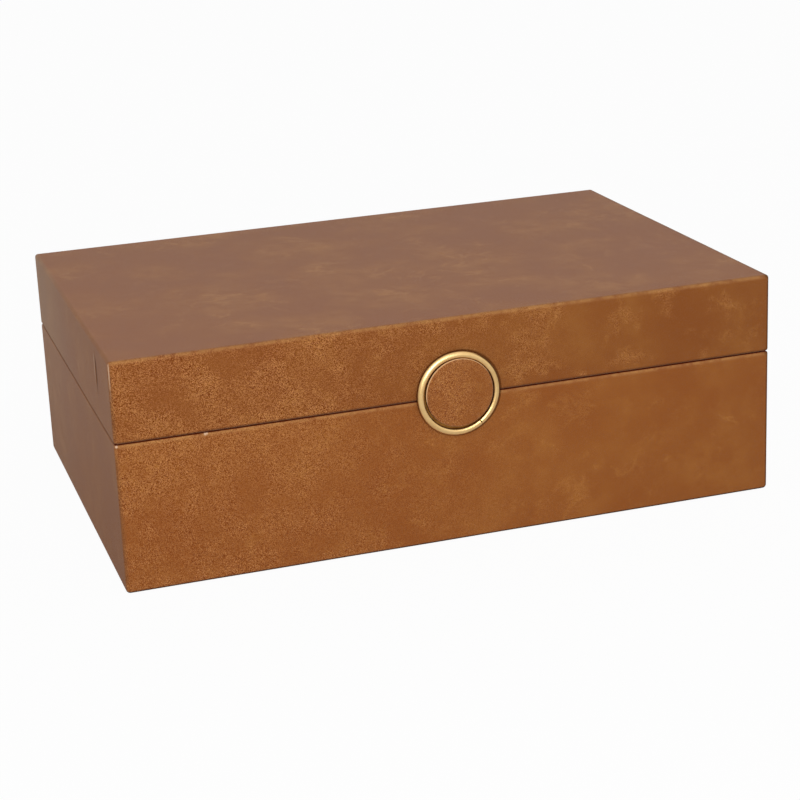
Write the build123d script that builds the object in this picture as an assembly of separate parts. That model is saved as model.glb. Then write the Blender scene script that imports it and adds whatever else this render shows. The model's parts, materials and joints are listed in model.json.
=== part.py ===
from build123d import *
import os
from math import cos, radians, sin

# A lidded storage box. Mitred fibreboard walls and a let-in board make each half, which is wrapped in
# suede-look leathercloth and lined with flocked boards. Two stop hinges carry the lid, two pairs of magnets
# hold it shut, and a covered disc framed by a brass ring, fixed to the lid's front, is the pull.
# Millimetres, +Z up, the front faces -Y. The origin is the centre of the underside.

# The box outside, over its leathercloth
box_width = 305.0
box_depth = 203.0
base_height = 68.0
seam_gap = 0.4
lid_height = 36.1

# Fibreboard
wall_board = 9.0
bottom_board = 6.0
top_board = 6.0
board_edge_radius = 0.8
rabbet_depth = 4.5
rabbet_clearance = 0.1

# Leathercloth, with its turned-in edges
wrap_thickness = 0.8
rim_edge_radius = 0.7
turn_in = 15.0
turn_under = 14.0

# Felt under the base
felt_thickness = 0.6
felt_inset = 5.0
felt_corner_radius = 3.0

# Flocked lining boards
wall_lining = 2.2
floor_lining = 2.6
ceiling_lining = 2.6
lining_drop = 3.0
lining_edge_radius = 0.6
lining_clearance = 0.3

# Magnets in the front rims
magnet_inset = 50.0
magnet_radius = 3.0
magnet_thickness = 3.0
magnet_clearance = 0.1

# Stop hinges
hinge_inset = 57.5
hinge_length = 32.0
middle_knuckle = 11.0
knuckle_gap = 0.25
knuckle_radius = 2.2
knuckle_clearance = 0.3
axis_offset = 0.8
leaf_thickness = 1.5
leaf_margin = 1.2
mortise_clearance = 0.1
open_angle = 100.0
stop_slack = 0.4
lug_reach = 5.6
lug_drop = 6.4
lug_thickness = 3.0
lug_clearance = 0.1
pin_radius = 1.1
pin_clearance = 0.05
pin_head_radius = 1.8
pin_head_thickness = 0.8

# Wood screws in the leaves
screws_per_leaf = 3
screw_end_margin = 5.5
screw_length = 12.0
screw_shank_radius = 1.1
screw_head_radius = 2.1
screw_head_rim = 0.15
screw_head_depth = 1.2
screw_tip = 2.5
screw_clearance = 0.03
driver_width = 0.5
driver_span = 2.3
driver_depth = 0.7

# Ring-framed disc pull
pull_rise = 1.9
pull_standoff = 0.4
back_plate_thickness = 1.0
back_plate_inset = 1.0
ring_outer_radius = 19.3
ring_width = 3.1
ring_height = 1.7
ring_shoulder = 0.25
disc_gap = 0.64
disc_off_centre = (0.2, 0.5)
disc_height = 2.2
disc_cover_thickness = 0.6
disc_edge_radius = 0.9
boss_angle = 38.0
boss_edge_margin = 4.8
boss_radius = 2.75
boss_height = 0.9
boss_pocket_clearance = 0.2

# Machine screws that hold the pull
pull_screw_length = 8.0
pull_screw_radius = 1.5
pull_screw_hole_clearance = 0.15
pull_screw_thread_clearance = 0.03
pull_screw_head_radius = 2.8
pull_screw_head_height = 2.2
pull_screw_end_gap = 0.3
washer_radius = 3.5
washer_thickness = 0.5
counterbore_clearance = 0.2

# Worked-out places that several pieces share
board_half_x = box_width / 2 - wrap_thickness
board_half_y = box_depth / 2 - wrap_thickness
inner_half_x = board_half_x - wall_board
inner_half_y = board_half_y - wall_board
lined_half_x = inner_half_x - wrap_thickness
lined_half_y = inner_half_y - wrap_thickness
wrap_edge_radius = board_edge_radius + wrap_thickness
seam_height = base_height + seam_gap / 2
hinge_axis_y = box_depth / 2 + axis_offset
wall_middle_y = board_half_y - wall_board / 2
leaf_depth = wrap_thickness + wall_board - leaf_margin
hinge_centres = {"left": hinge_inset - box_width / 2, "right": box_width / 2 - hinge_inset}
magnet_centres = [magnet_inset - box_width / 2, box_width / 2 - magnet_inset]
outer_screw = hinge_length / 2 - screw_end_margin
screw_places = [outer_screw * (2 * i / (screws_per_leaf - 1) - 1) for i in range(screws_per_leaf)]
side_turns = {"front": 0, "right": 90, "back": 180, "left": 270}
beyond = 1.0  # how far a cutting block runs past the face it opens


class Half:
    """The levels of the base or the lid, each counted from its closed side towards its rim."""

    def __init__(self, closed_face, rim_face, plate_board, plate_lining):
        self.to_rim = 1 if rim_face > closed_face else -1
        self.closed_face = closed_face
        self.rim_face = rim_face
        self.board_closed = closed_face + self.to_rim * wrap_thickness
        self.board_rim = rim_face - self.to_rim * wrap_thickness
        self.plate_inner = self.board_closed + self.to_rim * plate_board
        self.plate_lined = self.plate_inner + self.to_rim * plate_lining
        self.lining_rim = rim_face - self.to_rim * lining_drop


base = Half(felt_thickness, base_height, bottom_board, floor_lining)
lid = Half(base_height + seam_gap + lid_height, base_height + seam_gap, top_board, ceiling_lining)


def block(x, y, z):
    """A box between the two given levels on each axis."""
    spans = [sorted(pair) for pair in (x, y, z)]
    centre = [(low + high) / 2 for low, high in spans]
    size = [high - low for low, high in spans]
    return Pos(*centre) * Box(*size)


def centred_block(half_x, half_y, z):
    return block((-half_x, half_x), (-half_y, half_y), z)


def face_nearest_rim(half, solid):
    return solid.faces().sort_by(lambda face: half.to_rim * face.center().Z)[-1]


def rod(radius, x_low, x_high, y, z):
    """A cylinder along X."""
    middle = (x_low + x_high) / 2
    return Pos(middle, y, z) * Rot(0, 90, 0) * Cylinder(radius, x_high - x_low)


def upright(radius, x, y, z_low, z_high):
    """A cylinder along Z."""
    low, high = sorted((z_low, z_high))
    return Pos(x, y, (low + high) / 2) * Cylinder(radius, high - low)


# Boards

def carcass(half):
    """The boards' outer form as one block, with its edges eased."""
    whole = centred_block(board_half_x, board_half_y, (half.board_closed, half.board_rim))
    return fillet(whole.edges(), board_edge_radius)


def mitred_wall(half, side):
    """A wall with a 45 degree mitre at each end, rabbeted for the board that closes the half."""
    along_x = side in ("front", "back")
    reach, distance = (board_half_x, board_half_y) if along_x else (board_half_y, board_half_x)
    outline = Polygon(
        (-reach, -distance),
        (reach, -distance),
        (reach - wall_board, wall_board - distance),
        (wall_board - reach, wall_board - distance),
        align=None,
    )
    low, high = sorted((half.board_closed, half.board_rim))
    wall = Pos(0, 0, low) * Rot(0, 0, side_turns[side]) * extrude(outline, high - low, dir=(0, 0, 1))
    rabbet = centred_block(
        inner_half_x + rabbet_depth,
        inner_half_y + rabbet_depth,
        (half.board_closed - half.to_rim * beyond, half.plate_inner),
    )
    return (wall & carcass(half)) - rabbet


def closing_board(half):
    """The bottom of the base or the top of the lid, let into the rabbets."""
    reach = rabbet_depth - rabbet_clearance
    return centred_block(inner_half_x + reach, inner_half_y + reach, (half.board_closed, half.plate_inner))


def magnets(half):
    """Disc magnets let into the front wall's rim, under the leathercloth."""
    depth = half.board_rim - half.to_rim * magnet_thickness
    return [upright(magnet_radius, x, -wall_middle_y, half.board_rim, depth) for x in magnet_centres]


def magnet_pockets(half):
    depth = half.board_rim - half.to_rim * magnet_thickness
    mouth = half.board_rim + half.to_rim * beyond
    radius = magnet_radius + magnet_clearance
    pockets = [upright(radius, x, -wall_middle_y, mouth, depth) for x in magnet_centres]
    return pockets[0] + pockets[1:]


# Leathercloth, felt and linings

def wrap(half):
    """The leathercloth of one half: over the outside, over the rim and a short way down the inside."""
    outside = centred_block(box_width / 2, box_depth / 2, (half.closed_face, half.rim_face))
    outside = fillet(outside.edges(), wrap_edge_radius)
    turned_in = (half.rim_face, half.rim_face - half.to_rim * turn_in)
    mouth = (half.rim_face + half.to_rim * beyond, turned_in[1])
    skin = outside - carcass(half)
    skin += centred_block(inner_half_x, inner_half_y, turned_in)
    skin -= centred_block(lined_half_x, lined_half_y, mouth)
    rim = face_nearest_rim(half, skin)
    return fillet(rim.inner_wires()[0].edges(), rim_edge_radius)


def base_wrap():
    """The base's leathercloth also turns under, and leaves the middle of the underside to the felt."""
    window = centred_block(
        box_width / 2 - turn_under,
        box_depth / 2 - turn_under,
        (base.closed_face - beyond, base.board_closed),
    )
    return wrap(base) - window - hinge_recesses(base)


def lid_wrap():
    return wrap(lid) - hinge_recesses(lid) - pull_screw_holes()


def underside_felt():
    """Felt glued over the turned-under edges, thicker inside them where it lies on the board."""
    sheet = centred_block(box_width / 2 - felt_inset, box_depth / 2 - felt_inset, (0, felt_thickness))
    sheet = fillet(sheet.edges().filter_by(Axis.Z), felt_corner_radius)
    inside = turn_under + lining_clearance
    return sheet + centred_block(
        box_width / 2 - inside,
        box_depth / 2 - inside,
        (felt_thickness, base.board_closed),
    )


def wall_lining_board(half, side):
    """A flocked board on one wall. Those of the sides stand between the front and back ones."""
    along_x = side in ("front", "back")
    distance, space = (lined_half_y, lined_half_x) if along_x else (lined_half_x, lined_half_y - wall_lining)
    reach = space - lining_clearance
    levels = (half.plate_inner, half.lining_rim)
    board = block((-reach, reach), (-distance, wall_lining - distance), levels)
    shown = board.faces().sort_by(Axis.Y)[-1]
    return Rot(0, 0, side_turns[side]) * fillet(shown.edges(), lining_edge_radius)


def plate_lining_board(half):
    """The flocked board that covers the closing board, between the wall linings."""
    inset = wall_lining + lining_clearance
    levels = (half.plate_inner, half.plate_lined)
    board = centred_block(lined_half_x - inset, lined_half_y - inset, levels)
    return fillet(face_nearest_rim(half, board).edges(), lining_edge_radius)


# Hinges

def hinge_recesses(half):
    """What each half gives up for its two leaves and for the barrel behind them."""
    length = hinge_length / 2 + mortise_clearance
    inner_edge = box_depth / 2 - leaf_depth - mortise_clearance
    floor = half.rim_face - half.to_rim * leaf_thickness
    barrel = hinge_length / 2 + pin_head_thickness + knuckle_clearance
    cuts = []
    for centre in hinge_centres.values():
        cuts.append(
            block(
                (centre - length, centre + length),
                (inner_edge, box_depth / 2 + beyond),
                (floor, half.rim_face + half.to_rim * beyond),
            )
        )
        radius = knuckle_radius + knuckle_clearance
        cuts.append(rod(radius, centre - barrel, centre + barrel, hinge_axis_y, seam_height))
    return cuts[0] + cuts[1:]


def leaf_screw_holes(half):
    """Holes in the back wall for the leaf screws."""
    depth = half.rim_face - half.to_rim * (screw_length + screw_clearance)
    radius = screw_shank_radius + screw_clearance
    holes = [
        upright(radius, centre + place, wall_middle_y, half.rim_face, depth)
        for centre in hinge_centres.values()
        for place in screw_places
    ]
    return holes[0] + holes[1:]


def knuckle_spans(half):
    """Where along X, from the hinge's middle, the barrel belongs to this half."""
    joint = middle_knuckle / 2
    if half is lid:
        return [(-joint + knuckle_gap / 2, joint - knuckle_gap / 2)]
    end = hinge_length / 2
    return [(-end, -joint - knuckle_gap / 2), (joint + knuckle_gap / 2, end)]


def stop_lug(half):
    """The lug behind the barrel. Its stop face meets the other leaf's when the lid is fully open."""
    lean = radians((open_angle + stop_slack) / 2)
    inner = lug_clearance - axis_offset
    away = -half.to_rim
    outline = Polygon(
        (0, 0),
        (inner, 0),
        (inner, away * lug_drop),
        (inner + lug_thickness, away * lug_drop),
        (lug_reach * cos(lean), away * lug_reach * sin(lean)),
        align=None,
    )
    section = Plane(origin=(-hinge_length / 2, hinge_axis_y, seam_height), x_dir=(0, 1, 0), z_dir=(1, 0, 0))
    return extrude(section * outline, hinge_length, dir=(1, 0, 0))


def hinge_leaf(half, centre_x):
    """A leaf let in flush with the rim, with its share of the barrel and its stop lug."""
    other = base if half is lid else lid
    end = hinge_length / 2
    leaf = block(
        (-end, end),
        (box_depth / 2 - leaf_depth, hinge_axis_y),
        (half.rim_face, half.rim_face - half.to_rim * leaf_thickness),
    )
    leaf += stop_lug(half)
    around = knuckle_radius + knuckle_clearance
    for low, high in knuckle_spans(other):
        leaf -= rod(around, low - knuckle_gap, high + knuckle_gap, hinge_axis_y, seam_height)
    for low, high in knuckle_spans(half):
        leaf += rod(knuckle_radius, low, high, hinge_axis_y, seam_height)
    leaf -= rod(pin_radius + pin_clearance, -end - beyond, end + beyond, hinge_axis_y, seam_height)
    for place in screw_places:
        leaf -= place_screw(half, place, leaf_screw_form(screw_clearance))
    return Pos(centre_x, 0, 0) * leaf


def hinge_pin(centre_x):
    """The pin, with a head clear of each end of the barrel."""
    end = hinge_length / 2 + pin_clearance
    pin = rod(pin_radius, -end, end, hinge_axis_y, seam_height)
    for low, high in ((-end - pin_head_thickness, -end), (end, end + pin_head_thickness)):
        pin += rod(pin_head_radius, low, high, hinge_axis_y, seam_height)
    return Pos(centre_x, 0, 0) * pin


def leaf_screw_form(extra=0.0):
    """A countersunk screw pointing down from the origin. Extra grows it all round, to cut its hole."""
    outline = Polygon(
        (0, extra),
        (screw_head_radius + extra, extra),
        (screw_head_radius + extra, -screw_head_rim),
        (screw_shank_radius + extra, -screw_head_depth),
        (screw_shank_radius + extra, screw_tip - screw_length),
        (0, -screw_length - extra),
        align=None,
    )
    return revolve(Plane.XZ * outline, Axis.Z)


def place_screw(half, x, form):
    """Stands a screw form in a leaf, its head at the rim and its point in the back wall."""
    turn = 0 if half.to_rim > 0 else 180
    return Pos(x, wall_middle_y, half.rim_face - half.to_rim * screw_clearance) * Rot(0, turn, 0) * form


def cross_recess():
    """What the driver takes out of a screw's head, down from the origin."""
    bars = Box(driver_span, driver_width, driver_depth) + Box(driver_width, driver_span, driver_depth)
    return Pos(0, 0, -driver_depth / 2) * bars


def leaf_screws(half, centre_x):
    """The screws of one leaf, each with a cross recess."""
    screw = leaf_screw_form() - cross_recess()
    return [place_screw(half, centre_x + place, screw) for place in screw_places]


# Pull

pull_plane = Plane(
    origin=(0, -box_depth / 2, seam_height + pull_rise),
    x_dir=(1, 0, 0),
    z_dir=(0, -1, 0),
)
plate_face = pull_standoff + back_plate_thickness
disc_radius = ring_outer_radius - ring_width - disc_gap
boss_reach = disc_radius - boss_edge_margin
boss_rise = boss_reach * sin(radians(boss_angle))
boss_places = [(side * boss_reach * cos(radians(boss_angle)), boss_rise) for side in (-1, 1)]
screw_end = plate_face + boss_height - pull_screw_end_gap
screw_seat = screw_end - pull_screw_length
bore_floor = screw_seat + washer_thickness


def pull_rod(radius, low, high, place=(0, 0)):
    """A cylinder square to the lid's front, between two distances out from it."""
    return pull_plane * Pos(*place, (low + high) / 2) * Cylinder(radius, high - low)


def pull_screw_holes():
    """Clearance holes through the lid's front, with counterbores for the washers on the inside."""
    inside = -wrap_thickness - wall_board - wrap_thickness - beyond
    holes = []
    for place in boss_places:
        holes.append(pull_rod(pull_screw_radius + pull_screw_hole_clearance, inside, beyond, place))
        holes.append(pull_rod(washer_radius + counterbore_clearance, inside, bore_floor, place))
    return holes[0] + holes[1:]


def pull_back_plate():
    """The plate behind ring and disc, with tapped bosses that seat on the lid."""
    plate = pull_rod(ring_outer_radius - back_plate_inset, pull_standoff, plate_face)
    for place in boss_places:
        plate += pull_rod(boss_radius, 0, plate_face + boss_height, place)
    for place in boss_places:
        radius = pull_screw_radius + pull_screw_thread_clearance
        plate -= pull_rod(radius, -beyond, plate_face + boss_height + beyond, place)
    return plate


def pull_ring():
    """A brass ring with a flat back and a half-round front."""
    half_width = ring_width / 2
    middle = ring_outer_radius - half_width
    section = make_face(
        [
            Line((middle - half_width, 0), (middle + half_width, 0)),
            Line((middle + half_width, 0), (middle + half_width, ring_shoulder)),
            ThreePointArc(
                (middle + half_width, ring_shoulder),
                (middle, ring_height),
                (middle - half_width, ring_shoulder),
            ),
            Line((middle - half_width, ring_shoulder), (middle - half_width, 0)),
        ]
    )
    return pull_plane * Pos(0, 0, plate_face) * revolve(Plane.XZ * section, Axis.Z)


def pull_disc_core():
    """The fibreboard disc, hollowed behind for the two bosses."""
    top = plate_face + disc_height - disc_cover_thickness
    core = pull_rod(disc_radius - disc_cover_thickness, plate_face, top, disc_off_centre)
    for place in boss_places:
        radius = boss_radius + boss_pocket_clearance
        depth = plate_face + boss_height + boss_pocket_clearance
        core -= pull_rod(radius, plate_face - beyond, depth, place)
    return core


def pull_disc_cover():
    """Leathercloth drawn over the disc and down its edge."""
    top = plate_face + disc_height
    cover = pull_rod(disc_radius, plate_face, top, disc_off_centre)
    rim = cover.edges().filter_by(GeomType.CIRCLE).sort_by(Axis.Y)[0]
    cover = fillet(rim, disc_edge_radius)
    radius = disc_radius - disc_cover_thickness
    return cover - pull_rod(radius, plate_face - beyond, top - disc_cover_thickness, disc_off_centre)


def pull_screws():
    """Pan-head machine screws from inside the lid into the bosses."""
    top = screw_seat - pull_screw_head_height
    screws = []
    for place in boss_places:
        screw = pull_rod(pull_screw_head_radius, top, screw_seat, place)
        screw += pull_rod(pull_screw_radius, screw_seat, screw_end, place)
        screws.append(screw - pull_plane * Pos(*place, top) * Rot(180, 0, 0) * cross_recess())
    return screws


def pull_washers():
    """Flat washers in the counterbores."""
    hole = pull_screw_radius + pull_screw_hole_clearance
    washers = []
    for place in boss_places:
        washer = pull_rod(washer_radius, screw_seat, bore_floor, place)
        washers.append(washer - pull_rod(hole, screw_seat - beyond, bore_floor, place))
    return washers


# Assembly

def wall_cuts(half, side):
    """The holes and pockets in one wall."""
    if side == "back":
        return [hinge_recesses(half), leaf_screw_holes(half)]
    if side == "front" and half is lid:
        return [magnet_pockets(half), pull_screw_holes()]
    return [magnet_pockets(half)] if side == "front" else []


def box_pieces():
    """Every piece by the name of its node."""
    pieces = {
        "base_bottom_board": closing_board(base),
        "base_wrap": base_wrap(),
        "base_underside_felt": underside_felt(),
        "base_floor_lining": plate_lining_board(base),
        "lid_top_board": closing_board(lid),
        "lid_wrap": lid_wrap(),
        "lid_ceiling_lining": plate_lining_board(lid),
        "pull_back_plate": pull_back_plate(),
        "pull_ring": pull_ring(),
        "pull_disc_core": pull_disc_core(),
        "pull_disc_cover": pull_disc_cover(),
        "pull_screws": pull_screws(),
        "pull_washers": pull_washers(),
    }
    for name, half in (("base", base), ("lid", lid)):
        pieces[f"{name}_magnets"] = magnets(half)
        for side in ("front", "back", "left", "right"):
            wall = mitred_wall(half, side)
            for cut in wall_cuts(half, side):
                wall -= cut
            pieces[f"{name}_{side}_wall"] = wall
            pieces[f"{name}_{side}_lining"] = wall_lining_board(half, side)
        for hinge, centre in hinge_centres.items():
            pieces[f"hinge_{hinge}_{name}_leaf"] = hinge_leaf(half, centre)
            pieces[f"hinge_{hinge}_{name}_screws"] = leaf_screws(half, centre)
    for hinge, centre in hinge_centres.items():
        pieces[f"hinge_{hinge}_pin"] = hinge_pin(centre)
    return pieces


os.makedirs("parts", exist_ok=True)
for node, shape in box_pieces().items():
    solids = shape if isinstance(shape, list) else [shape]
    flat = [solid for item in solids for solid in item.solids()]
    export_step(Compound(children=flat) if len(flat) > 1 else flat[0], f"parts/{node}.step")
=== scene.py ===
import bmesh
import bpy
import json
from math import cos, exp, pi, radians, sin
from mathutils import Matrix, Vector, noise


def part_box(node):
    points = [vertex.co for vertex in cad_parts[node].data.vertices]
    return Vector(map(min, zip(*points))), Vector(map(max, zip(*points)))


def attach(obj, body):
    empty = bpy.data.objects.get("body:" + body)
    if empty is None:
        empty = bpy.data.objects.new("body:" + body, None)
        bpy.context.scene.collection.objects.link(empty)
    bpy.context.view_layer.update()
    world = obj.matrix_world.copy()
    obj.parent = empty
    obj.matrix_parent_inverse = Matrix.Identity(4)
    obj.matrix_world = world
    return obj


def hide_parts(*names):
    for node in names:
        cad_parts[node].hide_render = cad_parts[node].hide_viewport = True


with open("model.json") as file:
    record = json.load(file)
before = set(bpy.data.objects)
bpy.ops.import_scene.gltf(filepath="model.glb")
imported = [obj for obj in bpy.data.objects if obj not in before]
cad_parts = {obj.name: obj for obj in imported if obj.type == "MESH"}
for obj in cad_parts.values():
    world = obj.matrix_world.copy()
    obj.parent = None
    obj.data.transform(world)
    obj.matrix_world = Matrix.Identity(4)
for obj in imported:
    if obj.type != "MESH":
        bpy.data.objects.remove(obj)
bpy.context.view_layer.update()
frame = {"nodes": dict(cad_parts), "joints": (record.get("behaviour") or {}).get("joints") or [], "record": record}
print("frame loaded:", len(frame["nodes"]), "nodes")


def linked(name, data):
    thing = bpy.data.objects.new(name, data)
    bpy.context.scene.collection.objects.link(thing)
    return thing


# Camera, fitted to the box's seven visible corners in the photograph

photoCamera = {
    "place": (-0.27588, -0.89487, 0.3478),
    "azimuth": -17.2838,
    "elevation": 16.8851,
    "roll": -2.5815,
    "framePixels": 800,
    "focalPixels": 2013.67,
    "centrePixel": (392.0, 345.0),  # where the lens axis meets the picture
    "clip": (0.05, 50),
}


def makeCamera(given):
    data = bpy.data.cameras.new("photoCamera")
    camera = linked("photoCamera", data)
    side, lift, turn = (radians(given[key]) for key in ("azimuth", "elevation", "roll"))
    back = Vector((sin(side) * cos(lift), -cos(side) * cos(lift), sin(lift)))
    right = Vector((0, 0, 1)).cross(back).normalized()
    up = back.cross(right)
    rolledRight = right * cos(turn) + up * sin(turn)
    rolledUp = up * cos(turn) - right * sin(turn)
    axes = Matrix((rolledRight, rolledUp, back)).transposed().to_4x4()
    camera.matrix_world = Matrix.Translation(given["place"]) @ axes
    size = given["framePixels"]
    data.lens = data.sensor_width * given["focalPixels"] / size
    data.shift_x = 0.5 - given["centrePixel"][0] / size
    data.shift_y = given["centrePixel"][1] / size - 0.5
    data.clip_start, data.clip_end = given["clip"]
    bpy.context.scene.camera = camera


makeCamera(photoCamera)
print("camera placed")


# A node socket that takes part in sums. Its add method makes any node of the same tree.

class Wire:
    def __init__(self, tree, socket=None):
        self.tree, self.socket = tree, socket

    def add(self, kind, inputs=None, output=0, **settings):
        node = self.tree.nodes.new(kind)
        for key, value in settings.items():
            setattr(node, key, value)
        for key, value in (inputs or {}).items():
            for item in value if isinstance(value, list) else [value]:
                if isinstance(item, Wire):
                    self.tree.links.new(item.socket, node.inputs[key])
                else:
                    node.inputs[key].default_value = item
        return Wire(self.tree, node.outputs[output] if node.outputs else None)

    def maths(self, operation, *values):
        return self.add("ShaderNodeMath", dict(enumerate(values)), operation=operation)

    def __add__(self, other):
        return self.maths("ADD", self, other)

    def __radd__(self, other):
        return self.maths("ADD", other, self)

    def __sub__(self, other):
        return self.maths("SUBTRACT", self, other)

    def __rsub__(self, other):
        return self.maths("SUBTRACT", other, self)

    def __mul__(self, other):
        return self.maths("MULTIPLY", self, other)

    def __rmul__(self, other):
        return self.maths("MULTIPLY", other, self)

    def least(self, other):
        return self.maths("MINIMUM", self, other)

    def most(self, other):
        return self.maths("MAXIMUM", self, other)

    def size(self):
        return self.maths("ABSOLUTE", self)

    def about(self, middle, width):  # a noise, spread about a middle value
        return (self - 0.5) * width + middle

    def step(self, low, high, start=0.0, end=1.0):  # from start to end, as the value goes from low to high
        span = {"Value": self, "From Min": low, "From Max": high, "To Min": start, "To Max": end}
        return self.add("ShaderNodeMapRange", span, interpolation_type="SMOOTHSTEP")

    def band(self, rise, fall):
        return self.step(*rise) * self.step(*fall)

    def colours(self, first, second):  # first where the value is 0, second where it is 1
        return self.add("ShaderNodeMix", {0: self, 6: first, 7: second}, 2, data_type="RGBA")

    def parts(self):  # the x, y and z of a vector
        split = self.add("ShaderNodeSeparateXYZ", {0: self})
        return [Wire(self.tree, output) for output in split.socket.node.outputs]

    def distance(self, point):
        return self.add("ShaderNodeVectorMath", {0: self, 1: point}, 1, operation="DISTANCE")

    def roundWith(self, other):  # the distance from the line where this and the other are both 0
        return self.add("ShaderNodeCombineXYZ", {0: self, 1: other}).distance((0, 0, 0))

    def noise(self, grainSize, detail, roughness, distortion=0.0, stretch=None):
        place = self
        if stretch:
            place = self.add("ShaderNodeMapping", {"Vector": self, "Scale": stretch})
        inputs = {"Vector": place, "Scale": 1 / grainSize, "Detail": detail, "Roughness": roughness,
                  "Distortion": distortion}
        return self.add("ShaderNodeTexNoise", inputs)


def emptied(owner):  # the start of a material's or world's node tree, with no nodes yet
    owner.use_nodes = True
    owner.node_tree.nodes.clear()
    return Wire(owner.node_tree)


def newMaterial(name):
    material = bpy.data.materials.new(name)
    start = emptied(material)
    return material, start, start.add("ShaderNodeTexCoord", None, "Object")


def finishMaterial(start, look, base, rough, height, flattened=None):
    bump = start.add("ShaderNodeBump", {"Height": height, "Distance": look["bumpDepth"]})
    inputs = {**look["surface"], "Base Color": base, "Roughness": rough, "Normal": bump}
    shader = start.add("ShaderNodeBsdfPrincipled", inputs)
    if flattened is not None:  # where this is 1 there is no sheen and no specular reflection: in the nap's hollows, and under painted shade
        flat = {key: value for key, value in inputs.items() if not key.startswith("Sheen")}
        flat["Specular IOR Level"] = 0.0
        flatShader = start.add("ShaderNodeBsdfPrincipled", flat)
        shader = start.add("ShaderNodeMixShader", {0: flattened, 1: shader, 2: flatShader})
    start.add("ShaderNodeOutputMaterial", {"Surface": shader})


def grey(value):
    return (value, value, value, 1)


# Leathercloth: golden wisps and clouds over a redder brown, with an open, speckled nap, some edge wear, and
# painted shade, painted sheen and painted highlights.
# A noise is given by its size, detail, roughness and distortion, and a fade by where it starts and ends
# and by its shares there, if not 0 and 1.

clothLook = {
    "middle": (0.304, 0.0935, 0.015, 1),
    "red": (0.284, 0.0815, 0.012, 1),
    "golden": (0.4, 0.151, 0.028, 1),
    "napHigh": (0.59, 0.255, 0.086, 1),
    "napLow": (0.105, 0.0035, 0.0001, 1),
    # painted highlight and wear along the upper front edges
    "highlightAndWear": (0.56, 0.275, 0.085, 1),
    # painted highlight on the lap's ridge, and painted highlight and wear at the lid's corner
    "bareAndHighlight": (0.82, 0.62, 0.45, 1),
    # painted shade on edges and beside the lap
    "paintedShade": (0.12, 0.036, 0.008, 1),
    # painted highlight on the disc's edge
    "rubbed": (0.82, 0.49, 0.24, 1),
    "speck": (0.82, 0.56, 0.37, 1),
    # painted shade and painted shadow, the darkest
    "deepShade": (0.034, 0.005, 0.0005, 1),
    # painted shade inside the seam
    "seam": (0.13, 0.0062, 0.0002, 1),
    # painted sheen on the left side and on the top
    "veil": (0.52, 0.57, 0.39, 1),
    "topVeil": (0.75, 0.5, 0.38, 1),
    # the colour of the painted shade
    "shadeBlack": grey(0),
    "faceBlend": (0.0022, 0.0006),  # a face's own look fades in from behind it
    "cloud": (0.048, 3, 0.55),
    "patch": (0.013, 3, 0.55),
    "stroke": (0.026, 5, 0.6, 0.5),
    "brushed": (0.016, 3, 0.6),
    "redFade": (0.34, 0.56),
    "cloudFade": (0.42, 0.68),
    "patchFade": (0.34, 0.66, 0, 0.8),
    "wispWidth": (0.03, 0.0),
    "wispPlaces": (0.46, 0.62),
    "wispClouds": (0.4, 0.6, 0.4, 0.8),
    "combedWidth": (0.15, 0.02),
    "combedPlaces": (0.47, 0.64),
    "combedGold": 0.45,
    "combedNap": 0.5,
    "goldShares": (0.5, 0.16, 0, 0.4),  # anywhere, and how much more on the front, the left and the top
    "rightPaintedShade": 0.045,  # painted shade: the front darkens to the right, and the left side to the front
    "leftPaintedShade": (0.01, 0.08),
    "veilStart": (-0.02, 0.034),  # where the left side's painted sheen starts, and its share there
    "topVeilShare": 0.034,
    "napSize": 0.00023,
    "napFades": (-0.12, 0.08),  # across the front, from the left to the right
    "napShares": (0.82, 0.03),
    "napElsewhere": 0.04,
    "napParts": (0.7, 0.6),  # how far patches and clouds lift it
    "napLift": (0.5, 0.74, 0.36, 1.0),
    "napHeight": 0.8,
    "napRough": 0.12,
    "goldSmooth": 0.05,
    "roughness": (0.64, 0.15),
    "creases": (0.0025, 3, 0.7),
    "creaseShares": (0.5, -0.3, 0.4, 0),
    "bumpDepth": 0.0001,
    "surface": {"Specular IOR Level": 0.12, "Sheen Weight": 0.19, "Sheen Roughness": 0.45,
                "Sheen Tint": (1, 0.93, 0.86, 1)},
}
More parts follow.
